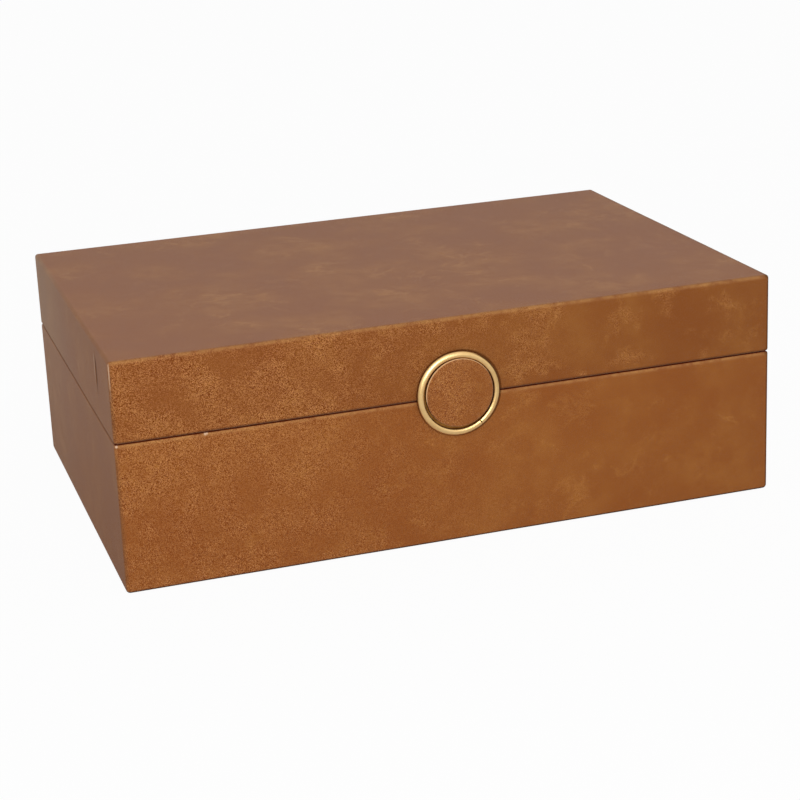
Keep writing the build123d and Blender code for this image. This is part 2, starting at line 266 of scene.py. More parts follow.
shadeAndWearLook = {  # painted shade, painted highlights and wear; most fades go inwards from a face or an edge
    "broken": (0.0045, 3, 0.7),
    "edge": (0.002, 0.0005),
    "level": (0.005, 0.0024),
    "levelFoot": (0.006, 0.012),
    "levelForward": (0.06, -0.06),
    "paleEdgeBreaks": (0.3, 0.62, 0, 0.42),
    "far": (0.003, 0.001),  # painted shade on the right and back edges
    "farShare": 0.8,
    # painted shade on the lower and upright edges, and painted shade lines
    "dull": (0.002, 0.0007, 0, 0.85),
    "upright": (0.003, 0.006, 0, 0.2125),
    "lower": (0.0012, 0.0004),
    "line": (0.0012, 0.0004, 0, 0.4),
    "topLine": (0.003, 0.0016, 0, 0.2),
    # a painted contact shadow along the bottom
    "foot": (0.0014, 0.0007, 0, 0.75),
    "seamLevel": 0.0682,
    # painted shade inside the seam between lid and base
    "rim": ((-0.00042, -0.00026), (0.00044, 0.00024)),
    "seamShadeDepth": (0.0019, 0.0011),
    # the left side loses sheen towards the front and the bottom, as painted shade
    "flatForward": 0.24,
    "flatLow": (0.09, 0.01, 0, 0.15),
    "ringShadow": ((0.0002, -0.00015), (-0.0034, -0.0006, 0, 0.55)),  # the ring's painted shadow: a band along its outline, shifted off it
    "lapTop": ((0.004, 0.009), (0.026, 0.015)),
    "lapShade": ((-0.0045, -0.0022), (0.0002, -0.0004)),  # painted shade, placed back from the lap's cut edge
    "lapShares": (0.75, 0.5),  # of the painted shade's colour and of its flattened nap
    # a painted highlight along the lap's ridge
    "lapRidge": ((0.0, 0.0006), (0.0036, 0.0016, 0, 0.35)),
    "ridgeTop": (0.022, 0.01),
    # partly painted highlight, partly wear, down the lid's front-left corner towards the top
    "cornerWidth": (0.00046, 0.00016),
    "cornerTop": (0.0205, 0.002),
    "cornerBreaks": (0.4, 0.54, 0, 0.5),
    "discRubbed": (-0.34, 0.94),  # the side of the painted highlight, to the right and upwards
    "discUpper": (0.001, 0.0045),
    "discEdge": (-0.00028, -0.00018),
    "discBreaks": (0.3, 0.42, 0, 0.95),
    # painted shade on the disc's side
    "discSideShade": (0.0009, 0.0012),
    "spotCore": 0.4,
    "spotShare": 0.8,
}


class Cloth:  # a leathercloth in the making, with the depths behind its faces
    def __init__(self, name, low, high, look, wearAndShade):
        self.material, self.start, self.place = newMaterial(name)
        self.x, self.y, self.z = self.place.parts()
        self.look, self.high, self.size = look, high, high - low
        self.left, self.right = self.x - low.x, high.x - self.x
        self.front, self.back = self.y - low.y, high.y - self.y
        self.foot, self.top = self.z - low.z, high.z - self.z
        near = (face.step(*look["faceBlend"]) for face in (self.front, self.left, self.top))
        self.onFront, self.onLeft, self.onTop = near
        self.broken = self.place.noise(*wearAndShade["broken"])

    def tint(self, share, colour):
        self.base = share.colours(self.base, self.look[colour])

    def shares(self, anywhere, onFront, onLeft, onTop):
        return self.onFront * onFront + self.onLeft * onLeft + self.onTop * onTop + anywhere


def addClouds(cloth, details, look):
    cloth.cloud = cloth.place.noise(*look["cloud"])
    cloth.patch = cloth.place.noise(*look["patch"])
    brushed = cloth.place.noise(*look["brushed"])
    offStroke = (cloth.place.noise(*look["stroke"]) - 0.5).size()
    clouds = cloth.cloud.step(*look["cloudFade"]) * cloth.patch.step(*look["patchFade"])
    wisps = offStroke.step(*look["wispWidth"]) * brushed.step(*look["wispPlaces"])
    combed = offStroke.step(*look["combedWidth"]) * brushed.step(*look["combedPlaces"])
    cloth.combed = combed * cloth.onFront * details["combed"]
    cloth.gold = clouds + wisps * cloth.cloud.step(*look["wispClouds"]) + cloth.combed * look["combedGold"]
    cloth.base = cloth.cloud.step(*look["redFade"]).colours(look["red"], look["middle"])
    cloth.tint((cloth.gold * cloth.shares(*look["goldShares"])).least(1.0), "golden")


def paintShadeAndSheen(cloth, details, look):
    # painted shade: the fronts darken to the right, the lid's front more than the base's, and the left side
    # darkens to the front
    frontPaintedShade = cloth.left.step(0, cloth.size.x, 0, look["rightPaintedShade"]) + details["frontPaintedShade"]
    leftPaintedShade = cloth.back.step(0, cloth.size.y, *look["leftPaintedShade"])
    cloth.tint(cloth.onFront * frontPaintedShade + cloth.onLeft * leftPaintedShade, "shadeBlack")
    # painted sheen on the left side, paler towards the back, and on the top
    veilFrom, veilShare = look["veilStart"]
    veil = cloth.y.step(veilFrom, cloth.high.y, veilShare, details["backVeil"])
    cloth.tint(cloth.onLeft * veil, "veil")
    cloth.tint(cloth.onTop * look["topVeilShare"], "topVeil")


def addNap(cloth, details, look):
    across = cloth.x.step(*details.get("napFades", look["napFades"]), *look["napShares"])
    byPatch, byCloud = look["napParts"]
    lifted = (cloth.patch * byPatch + cloth.cloud * byCloud).step(*look["napLift"])
    raised = (look["napElsewhere"] + cloth.onFront * (across - look["napElsewhere"])) * lifted
    raised = (raised + cloth.combed * look["combedNap"]).least(1.0)
    cells = {"Vector": cloth.place, "Scale": 1 / look["napSize"]}
    tufts = cloth.start.add("ShaderNodeTexVoronoi", cells, "Color")
    cloth.nap = cloth.start.add("ShaderNodeSeparateColor", {0: tufts})
    cloth.hollow = cloth.nap.step(0.5, 0.0) * raised
    cloth.tint(cloth.nap.step(0.5, 1.0) * raised, "napHigh")
    cloth.tint(cloth.hollow, "napLow")


def paintDiscHighlightAndShade(cloth, wearAndShade, centre, radius):
    across, up = cloth.x - centre.x, cloth.z - centre.z
    rightwards, upwards = wearAndShade["discRubbed"]
    # painted highlight along the disc's upper left edge
    rubbed = (across.roundWith(up) - radius).step(*wearAndShade["discEdge"])
    rubbed = rubbed * (up * upwards + across * rightwards).step(*wearAndShade["discUpper"])
    cloth.tint(rubbed * cloth.broken.step(*wearAndShade["discBreaks"]), "rubbed")
    # painted shade on the disc's side, in the gap inside the ring, with no sheen
    cloth.flattened = cloth.front.step(*wearAndShade["discSideShade"])
    cloth.tint(cloth.flattened, "deepShade")


def paintEdgeShadeAndWear(cloth, wearAndShade, lowerEdge):
    nearX, nearY = cloth.left.least(cloth.right), cloth.front.least(cloth.back)
    nearZ = cloth.top.least(cloth.foot)
    nearest, farthest = nearX.least(nearY).least(nearZ), nearX.most(nearY).most(nearZ)
    offEdge = nearX + nearY + nearZ - nearest - farthest
    edge = offEdge.step(*wearAndShade["edge"])
    level = nearZ.step(*wearAndShade["level"]) * cloth.foot.step(*wearAndShade["levelFoot"])
    level = level * cloth.y.step(*wearAndShade["levelForward"]) * (1 - cloth.onLeft)
    # partly painted highlight, partly wear: a pale, broken line along the upper edges towards the front
    cloth.tint(edge * level * cloth.broken.step(*wearAndShade["paleEdgeBreaks"]), "highlightAndWear")
    # painted shade on the right, back, lower and upright edges
    far = cloth.right.step(*wearAndShade["far"]).most(cloth.back.step(*wearAndShade["far"]))
    lower = (cloth.foot.step(*wearAndShade["lower"]) * lowerEdge).most(far * wearAndShade["farShare"])
    dull = (offEdge.step(*wearAndShade["dull"]) * lower).most(edge * nearZ.step(*wearAndShade["upright"]))
    cloth.tint(dull, "paintedShade")
    # painted shade lines along the far edges, and a painted contact shadow along the bottom
    lines = (offEdge.step(*wearAndShade["line"]) * far).most(offEdge.step(*wearAndShade["topLine"]) * cloth.onTop * far)
    cloth.tint(lines.most(cloth.foot.step(*wearAndShade["foot"]) * lowerEdge), "deepShade")
    # painted shade inside the seam between lid and base
    rim = (cloth.z - wearAndShade["seamLevel"]).band(*wearAndShade["rim"]) * nearX.least(nearY).step(*wearAndShade["seamShadeDepth"])
    cloth.tint(rim, "seam")
    # the left side loses sheen towards the front and the bottom, as painted shade; there is no sheen under the
    # other painted shade or in the nap's hollows
    flatLeft = cloth.back.step(0, cloth.size.y, 0, wearAndShade["flatForward"]) + cloth.z.step(*wearAndShade["flatLow"])
    cloth.flattened = dull.most(rim).most(cloth.onLeft * flatLeft).most(cloth.hollow)


def paintRingShadow(cloth, wearAndShade, centre, radius):
    # painted shadow of the ring on the cloth, with no sheen
    past = (cloth.x - centre[0]).roundWith(cloth.z - centre[1]) - radius
    ringShadow = past.band(*wearAndShade["ringShadow"]) * cloth.onFront
    cloth.tint(ringShadow, "deepShade")
    cloth.flattened = cloth.flattened.most(ringShadow)


def addLap(cloth, wearAndShade, place):
    behind = cloth.y - place
    below = cloth.onLeft * cloth.top.band(*wearAndShade["lapTop"])
    # painted shade in front of the lap's cut edge, and a painted highlight on the ridge behind it
    shade = behind.band(*wearAndShade["lapShade"]) * below
    colourShare, flatShare = wearAndShade["lapShares"]
    cloth.tint(shade * colourShare, "paintedShade")
    cloth.tint(behind.band(*wearAndShade["lapRidge"]) * below * cloth.top.step(*wearAndShade["ridgeTop"]), "bareAndHighlight")
    cloth.flattened = cloth.flattened.most(shade * flatShare)


def rubAndHighlightCorner(cloth, wearAndShade, place):
    away = (cloth.x - place.x).roundWith(cloth.y - place.y)
    # partly painted highlight, partly wear, down the lid's front-left corner towards the top
    bareAndHighlight = away.step(*wearAndShade["cornerWidth"]) * cloth.top.step(*wearAndShade["cornerTop"])
    cloth.tint(bareAndHighlight * cloth.broken.step(*wearAndShade["cornerBreaks"]), "bareAndHighlight")


def leathercloth(name, low, high, details, look=clothLook, wearAndShade=shadeAndWearLook):
    cloth = Cloth(name, low, high, look, wearAndShade)
    addClouds(cloth, details, look)
    paintShadeAndSheen(cloth, details, look)
    addNap(cloth, details, look)
    if "disc" in details:
        paintDiscHighlightAndShade(cloth, wearAndShade, *details["disc"])
    else:
        paintEdgeShadeAndWear(cloth, wearAndShade, details["lowerEdge"])
        paintRingShadow(cloth, wearAndShade, *details["ringShadow"])
    if "lap" in details:
        addLap(cloth, wearAndShade, details["lap"])
        rubAndHighlightCorner(cloth, wearAndShade, details["corner"])
    for spot, size in details.get("spots", ()):
        fade = (size, size * wearAndShade["spotCore"], 0, wearAndShade["spotShare"])
        cloth.tint(cloth.place.distance(spot).step(*fade), "speck")
    rough = cloth.cloud.about(*look["roughness"]) + cloth.nap.about(0, look["napRough"])
    rough = rough - cloth.gold * look["goldSmooth"]
    creases = cloth.place.noise(*look["creases"]) * cloth.shares(*look["creaseShares"])
    height = cloth.nap * look["napHeight"] + creases
    finishMaterial(cloth.start, look, cloth.base, rough, height, cloth.flattened)
    return cloth.material


# Brushed brass, for the ring, its plate, the hinges and their screws

brassLook = {
    "bright": (0.87, 0.595, 0.27, 1),
    "dull": (0.75, 0.48, 0.195, 1),
    "brushing": (0.0006, 3, 0.7),
    "stretch": (0.06, 1, 1),
    "film": (0.006, 3, 0.6),
    "brushingFade": (0.3, 0.7, 0, 0.3),
    "filmFade": (0.36, 0.7, 0, 0.7),
    "roughness": (0.31, 0.2),
    "filmRough": 0.12,
    "bumpDepth": 0.00004,
    "surface": {"Metallic": 1.0},
}
ringLook = dict(brassLook, brushing=(0.0003, 3, 0.7), stretch=(0.03, 1, 1))
plateLook = dict(brassLook, bright=(0.34, 0.15, 0.032, 1), dull=(0.18, 0.07, 0.012, 1),
                 roughness=(0.5, 0.2))
ringShadeAndNickLook = {  # the ring is darker at its foot, inside it, and outside it on the right: painted shade, with a dark painted reflection on the right; the nick at the joint is a real dark mark
    "colour": (0.12, 0.05, 0.008, 1),
    "foot": (-0.0011, -0.0002, 0, 0.9),
    "inside": (0.0007, 0.0001, 0, 0.27),
    "outside": (-0.001, -0.0005, 0, 0.9),
    "side": (0.97, -0.1),  # to the right and upwards
    "sideFrom": (0.003, 0.01),
    "nick": (0.0007, 0.0003, 0, 0.95),
}


def shadedAndNicked(base, place, ring, look):
    x, y, z = place.parts()
    across, up = x - ring["centre"].x, z - ring["centre"].z
    away = across.roundWith(up)
    rightwards, upwards = look["side"]
    # painted shade and a dark painted reflection on the outer flank on the right
    outside = (away - ring["outer"]).step(*look["outside"])
    outside = outside * (across * rightwards + up * upwards).step(*look["sideFrom"])
    # painted shade inside the ring and at its foot
    inside = (away - ring["inner"]).step(*look["inside"])
    foot = (y - ring["back"]).step(*look["foot"])
    base = foot.most(inside).most(outside).colours(base, look["colour"])
    # the nick at the joint is a real dark mark
    return place.distance(ring["nick"]).step(*look["nick"]).colours(base, look["colour"])


def brass(name, look, ring=None):
    material, start, place = newMaterial(name)
    along = start.add("ShaderNodeTexCoord", None, "UV") if ring else place  # the ring has its own map
    brushing = along.noise(*look["brushing"], stretch=look["stretch"])
    film = place.noise(*look["film"])
    dulled = film.step(*look["filmFade"]) + brushing.step(*look["brushingFade"])
    base = dulled.colours(look["bright"], look["dull"])
    if ring:
        base = shadedAndNicked(base, place, ring, ringShadeAndNickLook)
    rough = brushing.about(*look["roughness"]) + film.about(0, look["filmRough"])
    finishMaterial(start, look, base, rough, brushing)
    return material


# Nickelled steel and raw fibreboard

steelLook = {
    "dark": (0.5, 0.49, 0.47, 1),
    "light": (0.66, 0.65, 0.62, 1),
    "grain": (0.0008, 3, 0.7),
    "stretch": None,
    "fade": (0.3, 0.7),
    "roughness": (0.34, 0.2),
    "bumpDepth": 0.00002,
    "surface": {"Metallic": 1.0},
}
fibreboardLook = {
    "dark": (0.36, 0.245, 0.145, 1),
    "light": (0.5, 0.36, 0.23, 1),
    "grain": (0.0007, 3, 0.7),
    "stretch": (1, 0.4, 1),
    "fade": (0.3, 0.7),
    "roughness": (0.85, 0.1),
    "bumpDepth": 0.00006,
    "surface": {},
}


def grained(name, look):
    material, start, place = newMaterial(name)
    grain = place.noise(*look["grain"], stretch=look["stretch"])
    base = grain.step(*look["fade"]).colours(look["dark"], look["light"])
    finishMaterial(start, look, base, grain.about(*look["roughness"]), grain)
    return material


# Flock and felt

flockLook = {
    "dark": grey(0.01),
    "light": grey(0.028),
    "fibre": (0.0004, 2, 0.7),
    "nap": (0.03, 2, 0.5),
    "napShare": 0.2,
    "fade": (0.35, 0.68),
    "roughness": (0.95, 0.1),
    "bumpDepth": 0.00025,
    "surface": {"Specular IOR Level": 0.1, "Sheen Weight": 0.55, "Sheen Roughness": 0.35,
                "Sheen Tint": (0.85, 0.85, 0.88, 1)},
}
feltLook = dict(flockLook, dark=grey(0.018), light=grey(0.045), fibre=(0.0008, 2, 0.7))
feltLook["surface"] = {**flockLook["surface"], "Sheen Weight": 0.25}


def flock(name, look):
    material, start, place = newMaterial(name)
    fibre, nap = place.noise(*look["fibre"]), place.noise(*look["nap"])
    shade = fibre * (1 - look["napShare"]) + nap * look["napShare"]
    base = shade.step(*look["fade"]).colours(look["dark"], look["light"])
    finishMaterial(start, look, base, nap.about(*look["roughness"]), fibre)
    return material


finishes = {
    "fibreboard": grained("rawFibreboard", fibreboardLook),
    "lining_flock": flock("blackFlock", flockLook),
    "underside_felt": flock("blackFelt", feltLook),
    "brass": brass("brushedBrass", brassLook),
    "steel": grained("nickelledSteel", steelLook),
}
lapBehindFront = 0.032  # the lap seam on the lid's left side
cornerInset = 0.00047
shadowAside, shadowBelow, shadowWider = 0.00095, 0.0004, 0.00045  # the ring's painted shadow, shifted right and down and widened off the ring's own outline
lidLow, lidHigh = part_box("lid_wrap")
ringLow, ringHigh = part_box("pull_ring")
discLow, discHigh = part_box("pull_disc_cover")
ringCentre, ringRadius = (ringLow + ringHigh) / 2, (ringHigh.x - ringLow.x) / 2
shadowRound = ((ringCentre.x + shadowAside, ringCentre.z - shadowBelow), ringRadius + shadowWider)

baseCloth = leathercloth("baseLeathercloth", *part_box("base_wrap"), {
    "frontPaintedShade": 0.027,
    "combed": 0.35,
    "backVeil": 0.065,
    "lowerEdge": 1.0,
    "ringShadow": shadowRound,
    "spots": [((-0.1135, -0.101, 0.0674), 0.0009), ((-0.1127, -0.101, 0.0675), 0.0007),
              ((-0.1516, -0.1013, 0.0675), 0.0009)],
})
lidCloth = leathercloth("lidLeathercloth", lidLow, lidHigh, {
    "frontPaintedShade": 0.14,
    "combed": 1.0,
    "backVeil": 0.13,
    "lowerEdge": 0.3,
    "ringShadow": shadowRound,
    "lap": lidLow.y + lapBehindFront,
    "corner": lidLow + Vector((cornerInset, cornerInset, 0)),
})
discCloth = leathercloth("discLeathercloth", discLow, discHigh, {
    "frontPaintedShade": 0.06,
    "combed": 0.1,
    "backVeil": 0.02,
    "napFades": (-0.016, 0.04),
    "disc": ((discLow + discHigh) / 2, (discHigh.x - discLow.x) / 2),
})

for part in frame["record"]["subparts"]:
    slots = frame["nodes"][part["node"]].data.materials
    slots.clear()
    slots.append(finishes.get(part["material_slot"], baseCloth))
# the back plate, seen only in the gap round the ring, is much darker than the other brass
frame["nodes"]["pull_back_plate"].data.materials[0] = brass("darkPlate", plateLook)
print("materials made")


# Mesh helpers

sharpAngle = radians(40)
mergeDistance = 1e-6
sameLevel = 1e-7
hingeAxis = Vector(frame["joints"][0]["pos_m"])


def newPiece(name, mesh, material, body, slotName, *nodes):
    piece = linked(name, mesh)
    mesh.materials.clear()
    mesh.materials.append(material)
    mesh.shade_smooth()
    mesh.set_sharp_from_angle(angle=sharpAngle)
    piece.modifiers.new("evenShading", "WEIGHTED_NORMAL").keep_sharp = True
    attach(piece, body)
    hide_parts(*nodes)


def unify(shape):
    bmesh.ops.remove_doubles(shape, verts=shape.verts, dist=mergeDistance)
    bmesh.ops.recalc_face_normals(shape, faces=shape.faces)


def toMesh(shape, name):
    mesh = bpy.data.meshes.new(name)
    shape.to_mesh(mesh)
    shape.free()
    return mesh


def thickDraft(name, mesh, thickness):
    piece = linked(name + "Draft", mesh)
    thick = piece.modifiers.new("thickness", "SOLIDIFY")
    thick.thickness, thick.offset = thickness, -1
    return piece


def baked(piece, name):  # the piece with its modifiers, as a plain mesh
    graph = bpy.context.evaluated_depsgraph_get()
    mesh = bpy.data.meshes.new_from_object(piece.evaluated_get(graph))
    mesh.name = name
    bpy.data.objects.remove(piece)
    return mesh


def joinLoops(shape, loops):
    for here, there in zip(loops, loops[1:]):
        for i in range(len(here)):
            j = (i + 1) % len(here)
            shape.faces.new((here[i], here[j], there[j], there[i]))


def addGrid(shape, across, along, put):
    grid = [[shape.verts.new(put(u, v)) for u in across] for v in along]
    for lowRow, highRow in zip(grid, grid[1:]):
        for i in range(len(across) - 1):
            shape.faces.new((lowRow[i], lowRow[i + 1], highRow[i + 1], highRow[i]))


def spread(low, high, step):
    count = max(1, round(abs(high - low) / step))
    return [low + (high - low) * i / count for i in range(count + 1)]


def arc(centre, radius, start, end, steps):
    angles = [radians(start + (end - start) * i / steps) for i in range(steps + 1)]
    return [(centre[0] + radius * cos(a), centre[1] + radius * sin(a)) for a in angles]


def clamped(value, reach):
    return max(-reach, min(reach, value))


def fraction(value):
    return min(1, max(0, value))


# The two leathercloth coverings. A profile from the cut edge inside the rim, over the rim and down the
# outside is carried round the box.

covering = {
    "thickness": 0.0008,
    "edgeRadius": 0.0016,
    "edgeSteps": 6,
    "rimRadius": 0.001,
    "cornerSteps": 6,
    "cornerSoftness": 0.003,  # the lower corners are a little rounder than the edges
    "cornerPull": 0.0004,
    "innerEdgeRadius": 0.00085,
    "innerEdgeSteps": 4,
    "turnIn": 0.015,
    "turnUnder": 0.014,
    "wallStep": 0.003,
    "sheetStep": 0.005,
    "mitreDepth": 0.00016,
    "mitreHalfWidth": 0.0005,
    "mitreColumns": (1, 2.5),  # in half widths
    "wobble": 0.00005,
    "wobbleSize": 0.045,
    "lapBehindFront": lapBehindFront,  # the lap is pressed flat lower down
    "lapEdge": 0.00022,
    "lapColumns": (-4, -3, -2, -1, 0, 1, 3, 6, 10, 15, 22),  # in lap edges
    "lapClear": 0.0006,
    "lapTolerance": 0.00001,
    "lapRise": 0.00022,
    "lapFade": 0.003,
    "lapGroove": 0.00004,
    "lapGrooveWidth": 0.00088,
    "lapEnds": (0.079, 0.0885),
    "lapStarts": (0.003, 0.006),
    "leafClearance": 0.0001,  # the cloth is cut away round the hinges
    "leafCutDepth": 0.03,
    "leafCutHeight": 0.0015,
    "barrelRadius": 0.0025,
    "barrelClearance": 0.0003,
    "barrelSides": 48,
}


def coveringProfile(given, closed, rim, rimWidth, sheet):
    radius, rimRadius, inner = given["edgeRadius"], given["rimRadius"], given["innerEdgeRadius"]
    height, step = abs(rim - closed), given["wallStep"]
    rows = [(rimWidth, depth) for depth in spread(given["turnIn"], inner, step)]
    rows += arc((rimWidth - inner, inner), inner, 0, -90, given["innerEdgeSteps"])[1:]
    rows += [(inset, 0) for inset in spread(rimWidth - inner, rimRadius, step)[1:]]
    rows += arc((rimRadius, rimRadius), rimRadius, -90, -180, given["edgeSteps"])[1:]
    rows += [(0, depth) for depth in spread(rimRadius, height - radius, step)[1:]]
    rows += arc((radius, height - radius), radius, 180, 90, given["edgeSteps"])[1:]
    if not sheet:
        rows += [(inset, height) for inset in spread(radius, given["turnUnder"], step)[1:]]
    toClosed = 1 if closed > rim else -1
    return [(inset, rim + toClosed * depth) for inset, depth in rows]


def columnPlaces(reach, given, extra=()):
    seam = given["mitreHalfWidth"]
    places = spread(-reach, reach, given["sheetStep"])
    places += [side * (reach - seam * factor) for side in (-1, 1) for factor in given["mitreColumns"]]
    places = [p for p in places if all(abs(p - e) > given["lapClear"] for e in extra)] + list(extra)
    return sorted(places)


def loopAt(given, halfX, halfY, inset, columnsX, columnsY):
    radius = max(given["edgeRadius"] - inset, 0.0)
    outerX, outerY = halfX - given["edgeRadius"], halfY - given["edgeRadius"]
    reachX, reachY = halfX - inset - radius, halfY - inset - radius
    sides = [
        [(x * reachX / outerX, -halfY + inset) for x in columnsX],
        [(halfX - inset, y * reachY / outerY) for y in columnsY],
        [(-x * reachX / outerX, halfY - inset) for x in columnsX],
        [(-halfX + inset, -y * reachY / outerY) for y in columnsY],
    ]
    centres = [(reachX, -reachY), (reachX, reachY), (-reachX, reachY), (-reachX, -reachY)]
    points, mitres = [], []
    for turn, (side, centre) in enumerate(zip(sides, centres)):
        points += side
        bend = arc(centre, radius, turn * 90 - 90, turn * 90, given["cornerSteps"])
        mitres += [len(points) - 1 + i for i in range(given["cornerSteps"] + 1)]
        points += bend[1:-1]
    return points, mitres


def coveringShape(given, high, rim, closed, rimWidth, sheet, lapPlaces):
    columnsX = columnPlaces(high.x - given["edgeRadius"], given)
    columnsY = columnPlaces(high.y - given["edgeRadius"], given, lapPlaces)
    shape = bmesh.new()
    loops = []
    for inset, level in coveringProfile(given, closed, rim, rimWidth, sheet):
        points, mitres = loopAt(given, high.x, high.y, inset, columnsX, columnsY)
        flatFace = abs(level - rim) < sameLevel or (abs(level - closed) < sameLevel and not sheet)
        sunken = mitres if flatFace and inset > given["edgeRadius"] + sameLevel else ()
        sunk = level + given["mitreDepth"] * (1 if level < (rim + closed) / 2 else -1)
        levels = [sunk if i in sunken else level for i in range(len(points))]
        loops.append([shape.verts.new((*point, z)) for point, z in zip(points, levels)])
    joinLoops(shape, loops)
    if sheet:
        addGrid(shape, columnsX, columnsY, lambda x, y: (x, y, closed))
    unify(shape)
    return shape


def loosenCloth(shape, given):
    shape.normal_update()
    for vertex in shape.verts:
        push = noise.noise(vertex.co / given["wobbleSize"]) * given["wobble"]
        vertex.co += vertex.normal * push


def softenCorners(shape, given, low, high):
    for corner in (Vector((sx * high.x, sy * high.y, low.z)) for sx in (-1, 1) for sy in (-1, 1)):
        inward = Vector((-corner.x / high.x, -corner.y / high.y, 1)).normalized()
        for vertex in shape.verts:
            away = (vertex.co - corner).length / given["cornerSoftness"]
            if away < 1:
                vertex.co += inward * given["cornerPull"] * (1 - away) ** 2


def raiseLap(shape, given, low, high):
    lapPlace = low.y + given["lapBehindFront"]
    endLow, endHigh = given["lapEnds"]
    startDepth, startFade = given["lapStarts"]
    for vertex in shape.verts:
        if vertex.co.x > low.x + given["edgeRadius"]:
            continue
        past = vertex.co.y - lapPlace  # behind the lap's cut edge where this is above 0
        fade = fraction((vertex.co.z - endLow) / (endHigh - endLow))
        fade *= fraction((high.z - startDepth - vertex.co.z) / startFade)
        if past >= -given["lapTolerance"]:
            push = given["lapRise"] * exp(-past / given["lapFade"])
        elif past > -given["lapGrooveWidth"]:
            push = given["lapGroove"] * sin(past / given["lapGrooveWidth"] * pi)
        else:
            push = 0
        vertex.co.x -= push * fade


def hingeCutters(given, rim):
    clear, depth, radius = given["leafClearance"], given["leafCutDepth"], given["barrelRadius"]
    leaves, barrels = bmesh.new(), bmesh.new()
    for side in ("left", "right"):
        low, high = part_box(f"hinge_{side}_base_leaf")
        size = (high.x - low.x + 2 * clear, depth, 2 * (given["leafCutHeight"] + abs(rim - hingeAxis.z)), 1)
        middle = Matrix.Translation(((low.x + high.x) / 2, low.y - clear + depth / 2, hingeAxis.z))
        bmesh.ops.create_cube(leaves, size=1, matrix=middle @ Matrix.Diagonal(size))
        low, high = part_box(f"hinge_{side}_pin")
        length = high.x - low.x + 2 * given["barrelClearance"]
        middle = Matrix.Translation(((low.x + high.x) / 2, hingeAxis.y, hingeAxis.z))
        bmesh.ops.create_cone(barrels, cap_ends=True, segments=given["barrelSides"], radius1=radius,
                              radius2=radius, depth=length, matrix=middle @ Matrix.Rotation(pi / 2, 4, "Y"))
    shapes = {"leafCutters": leaves, "barrelCutters": barrels}
    return [linked(name, toMesh(shape, name)) for name, shape in shapes.items()]


def makeCovering(name, node, body, material, given, sheet):
    low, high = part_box(node)
    rim, closed = sorted((low.z, high.z), key=lambda level: abs(level - hingeAxis.z))
    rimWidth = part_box(f"{body}_left_wall")[1].x - low.x + given["thickness"]
    lapPlaces = []
    if sheet:  # the left side runs from back to front
        start = low.y + given["lapBehindFront"]
        lapPlaces = [-(start + step * given["lapEdge"]) for step in given["lapColumns"]]
    shape = coveringShape(given, high, rim, closed, rimWidth, sheet, lapPlaces)
    loosenCloth(shape, given)
    if sheet:
        raiseLap(shape, given, low, high)
    else:
        softenCorners(shape, given, low, high)
    piece = thickDraft(name, toMesh(shape, name + "Draft"), given["thickness"])
    cutters = hingeCutters(given, rim)
    for cutter in cutters:
        cut = piece.modifiers.new("hingeCut", "BOOLEAN")
        cut.operation, cut.solver, cut.object = "DIFFERENCE", "EXACT", cutter
    mesh = baked(piece, name)
    for cutter in cutters:
        bpy.data.objects.remove(cutter)
    newPiece(name, mesh, material, body, "leathercloth", node)


makeCovering("baseCovering", "base_wrap", "base", baseCloth, covering, sheet=False)
makeCovering("lidCovering", "lid_wrap", "lid", lidCloth, covering, sheet=True)
print("coverings made")


# Flocked linings and the underside felt: soft boards, each in its node's own box

liningShape = {
    "cornerRadius": 0.0006,
    "cornerSteps": 3,
    "edgeRadius": 0.0008,
    "edgeSteps": 4,
    "sheetStep": 0.006,
    "wobble": 0.00022,  # the face dips below its box, never above it
    "wobbleSize": 0.03,
    "wobbleFade": 0.004,
}
feltShape = dict(
    liningShape,
    cornerRadius=0.003,
    cornerSteps=6,
    cornerStep=0.001,
    edgeRadius=0.00028,
    sheetStep=0.004,
    wobble=0.00006,
    wobbleSize=0.02,
    underlap=0.009,  # the turned-under leathercloth shows through as a low step
    dip=0.0003,
    dipFade=0.0025,
)


